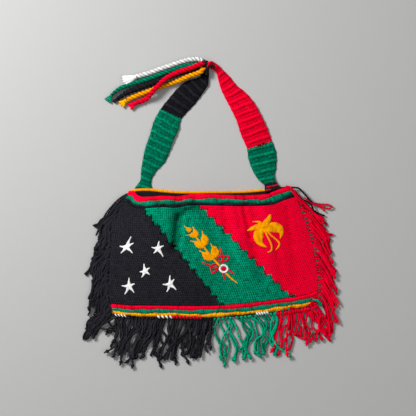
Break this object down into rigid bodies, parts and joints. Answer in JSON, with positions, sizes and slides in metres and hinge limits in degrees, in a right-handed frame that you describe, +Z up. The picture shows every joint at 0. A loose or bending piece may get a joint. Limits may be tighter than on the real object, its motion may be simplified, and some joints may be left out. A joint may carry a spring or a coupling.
{
  "type": "bilum string bag",
  "caption": "Flat-lying crocheted shoulder bag: fringed pouch, striped borders, embroidered front, ridged strap and twisted tie cords.",
  "frame": {"origin": "on the flat underside of the back panel, near its middle, at the mount back_rest", "axes": "+Z up, out of the front panel; +Y from the base to the mouth and the strap; +X to the right as seen from above"},
  "size_m": [0.4833, 0.5963, 0.0242],
  "materials": {
    "front_panel": "close crocheted acrylic yarn in black, green and red fields with white, yellow and red embroidery",
    "back_panel": "close crocheted matte black acrylic yarn",
    "mouth_border": "raised crocheted rows in red, green and black",
    "base_border": "raised crocheted rows in red, green, yellow and black",
    "strap_left": "ribbed crochet, green below and black above",
    "strap_right": "ribbed crochet, green below and red above",
    "strap_cuff": "black crochet with one red line",
    "strap_neck": "gathered black yarn with red stitches",
    "white_yarn": "twisted matte white acrylic yarn",
    "green_yarn": "twisted matte green acrylic yarn",
    "black_yarn": "twisted matte black acrylic yarn",
    "red_yarn": "twisted matte red acrylic yarn",
    "yellow_yarn": "twisted matte yellow acrylic yarn"
  },
  "bodies": {
    "root": {"back_panel": "back_panel", "mouth_border_back": "yellow_yarn", "base_border": "base_border", "front_panel": "front_panel", "mouth_border_front": "mouth_border", "strap_left": "strap_left", "strap_right": "strap_right", "strap_cuff": "strap_cuff", "strap_neck": "strap_neck", "tie_white": "white_yarn", "tie_green": "green_yarn", "tie_black": "black_yarn", "tie_red": "red_yarn", "tie_yellow": "yellow_yarn", "tuft_white": "white_yarn", "tuft_green": "green_yarn", "tuft_black": "black_yarn", "tuft_red": "red_yarn", "tuft_yellow": "yellow_yarn", "fringe_left": "black_yarn", "fringe_right": "red_yarn", "fringe_base_black": "black_yarn", "fringe_base_green": "green_yarn", "fringe_base_red": "red_yarn"}
  },
  "joints": []
}
